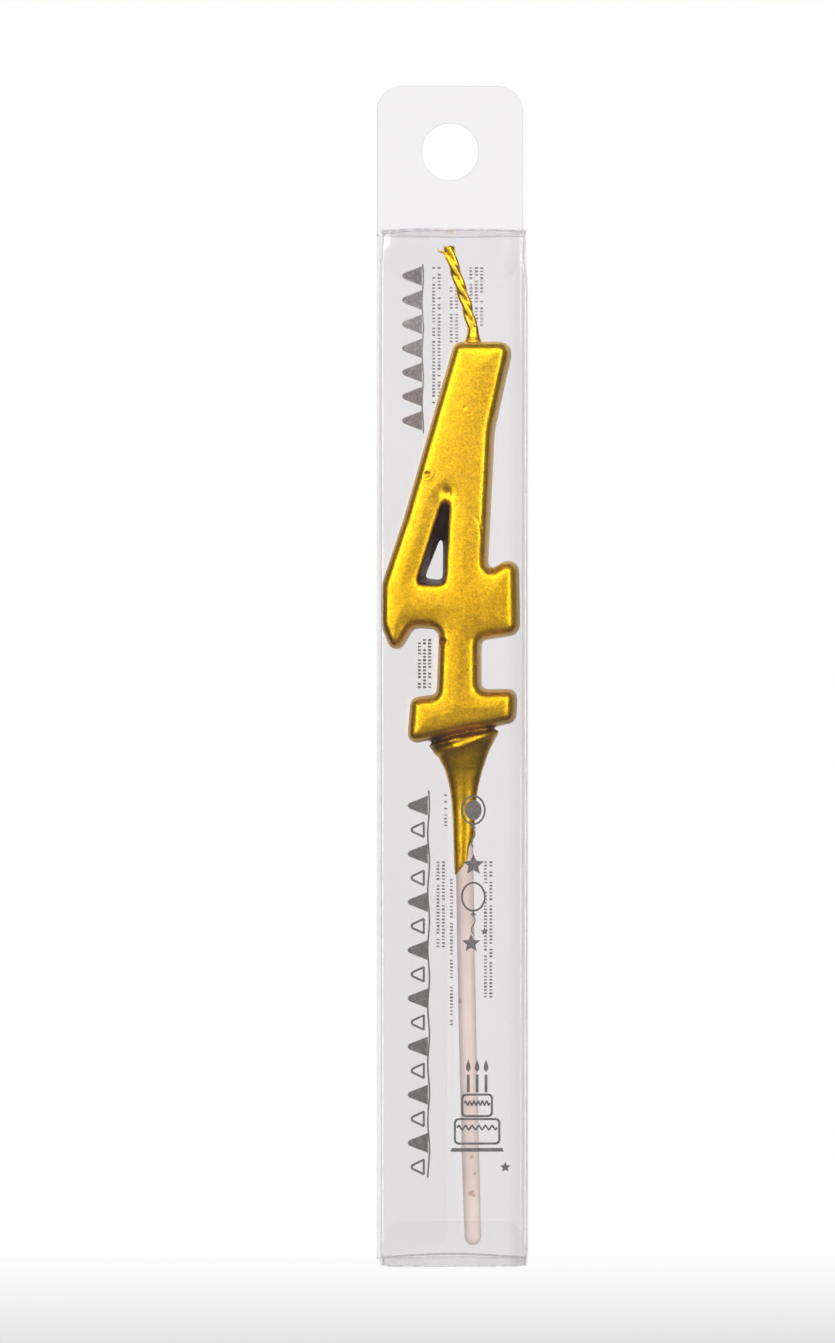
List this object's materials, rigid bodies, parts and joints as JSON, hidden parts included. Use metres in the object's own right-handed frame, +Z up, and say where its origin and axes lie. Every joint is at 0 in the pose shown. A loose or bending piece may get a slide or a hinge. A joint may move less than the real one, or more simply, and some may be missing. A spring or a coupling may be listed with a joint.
{
  "type": "number birthday candle",
  "caption": "Figure four cake candle in gold-lacquered wax with a twisted wick and a slim stick, in a clear folding box with a round-holed hang tab and tuck ends.",
  "frame": {"origin": "middle of the box's bottom face, where the pack stands", "axes": "+Z up along the box and the candle, -Y out of the front panel, +X to the viewer's right"},
  "size_m": [0.02, 0.014, 0.1604],
  "materials": {
    "gold_lacquered_wax": "satin metallic gold lacquer over cast wax",
    "gold_lacquered_wick": "glossy gold lacquer over twisted cotton",
    "cream_stick_plastic": "smooth, slightly translucent cream plastic",
    "clear_sheet": "clear glossy PET sheet",
    "print_ink": "dark grey printed ink on the sheet"
  },
  "bodies": {
    "sleeve": {"front_panel": "clear_sheet", "back_panel": "clear_sheet", "left_panel": "clear_sheet", "right_panel": "clear_sheet", "glue_seam_flap": "clear_sheet"},
    "top_lid": {"top_lid": "clear_sheet"},
    "top_tongue": {"top_tuck_tongue": "clear_sheet"},
    "top_left_flap": {"top_dust_flap_left": "clear_sheet"},
    "top_right_flap": {"top_dust_flap_right": "clear_sheet"},
    "bottom_lid": {"bottom_lid": "clear_sheet"},
    "bottom_tongue": {"bottom_tuck_tongue": "clear_sheet"},
    "bottom_left_flap": {"bottom_dust_flap_left": "clear_sheet"},
    "bottom_right_flap": {"bottom_dust_flap_right": "clear_sheet"},
    "candle": {"wax_body": "gold_lacquered_wax", "wick": "gold_lacquered_wick", "stick": "cream_stick_plastic"}
  },
  "joints": [
    {"name": "top_lid_crease", "type": "hinge", "parent": "sleeve", "child": "top_lid", "pos_m": [0, -0.007, 0.14], "axis": [1, 0, 0], "range_deg": [0, 120]},
    {"name": "top_tongue_crease", "type": "hinge", "parent": "top_lid", "child": "top_tongue", "pos_m": [0, 0.0059, 0.1398], "axis": [1, 0, 0], "range_deg": [-48, 0]},
    {"name": "top_left_flap_crease", "type": "hinge", "parent": "sleeve", "child": "top_left_flap", "pos_m": [-0.01, 0, 0.1397], "axis": [0, -1, 0], "range_deg": [0, 84]},
    {"name": "top_right_flap_crease", "type": "hinge", "parent": "sleeve", "child": "top_right_flap", "pos_m": [0.01, 0, 0.1397], "axis": [0, 1, 0], "range_deg": [0, 84]},
    {"name": "bottom_lid_crease", "type": "hinge", "parent": "sleeve", "child": "bottom_lid", "pos_m": [0, 0.007, 0], "axis": [1, 0, 0], "range_deg": [0, 120]},
    {"name": "bottom_tongue_crease", "type": "hinge", "parent": "bottom_lid", "child": "bottom_tongue", "pos_m": [0, -0.0059, 0.0002], "axis": [1, 0, 0], "range_deg": [-48, 0]},
    {"name": "bottom_left_flap_crease", "type": "hinge", "parent": "sleeve", "child": "bottom_left_flap", "pos_m": [-0.01, 0, 0.0003], "axis": [0, 1, 0], "range_deg": [0, 84]},
    {"name": "bottom_right_flap_crease", "type": "hinge", "parent": "sleeve", "child": "bottom_right_flap", "pos_m": [0.01, 0, 0.0003], "axis": [0, -1, 0], "range_deg": [0, 84]},
    {"name": "candle_slide", "type": "slide", "parent": "sleeve", "child": "candle", "axis": [0, 0, 1], "range_m": [-0.0014, 0.001]}
  ],
  "couplings": [
    {"joint": "top_tongue_crease", "follows": "top_lid_crease", "ratio": -0.4},
    {"joint": "top_left_flap_crease", "follows": "top_lid_crease", "ratio": 0.7},
    {"joint": "top_right_flap_crease", "follows": "top_lid_crease", "ratio": 0.7},
    {"joint": "bottom_tongue_crease", "follows": "bottom_lid_crease", "ratio": -0.4},
    {"joint": "bottom_left_flap_crease", "follows": "bottom_lid_crease", "ratio": 0.7},
    {"joint": "bottom_right_flap_crease", "follows": "bottom_lid_crease", "ratio": 0.7}
  ]
}
